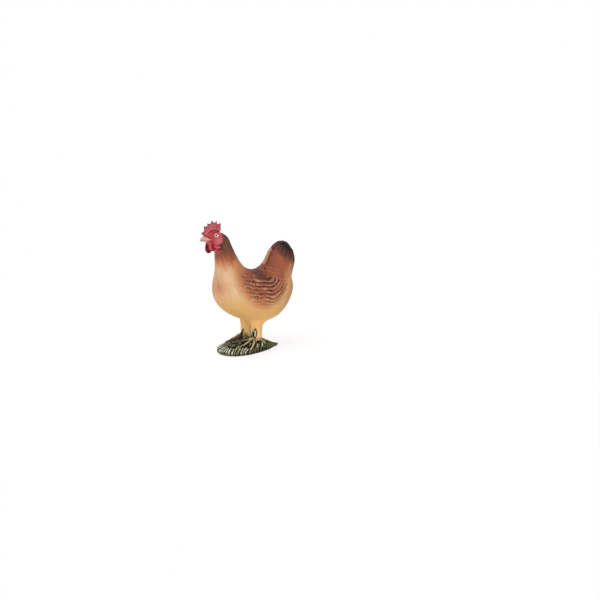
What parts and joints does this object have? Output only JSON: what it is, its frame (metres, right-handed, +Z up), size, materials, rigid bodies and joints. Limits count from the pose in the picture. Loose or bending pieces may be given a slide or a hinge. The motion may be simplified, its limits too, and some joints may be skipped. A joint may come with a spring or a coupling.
{
  "type": "toy hen figurine",
  "caption": "Small painted figurine of a standing hen with a single comb and an upright tail, on a mound of grass.",
  "frame": {"origin": "middle of the flat underside of the grass base, below the hen's plane of symmetry", "axes": "+Z up, the hen looks along -Y, its own left side is at +X"},
  "size_m": [0.0206, 0.036, 0.0494],
  "materials": {
    "feather_paint": "hand-painted satin plastic, peach breast and golden belly shading to red-brown saddle and wings",
    "red_paint": "satin crimson paint on plastic",
    "comb_paint": "satin rose-red paint, darker at the points",
    "horn_paint": "satin horn-coloured paint",
    "tail_paint": "satin red-brown paint with a charcoal edge",
    "leg_paint": "satin straw-coloured paint",
    "grass_paint": "matte olive paint with pale dry-brushed blades"
  },
  "bodies": {
    "root": {"body": "feather_paint", "head": "red_paint", "comb": "comb_paint", "beak": "horn_paint", "left_wattle": "red_paint", "right_wattle": "red_paint", "tail": "tail_paint", "left_leg": "leg_paint", "right_leg": "leg_paint", "grass_base": "grass_paint"}
  },
  "joints": []
}
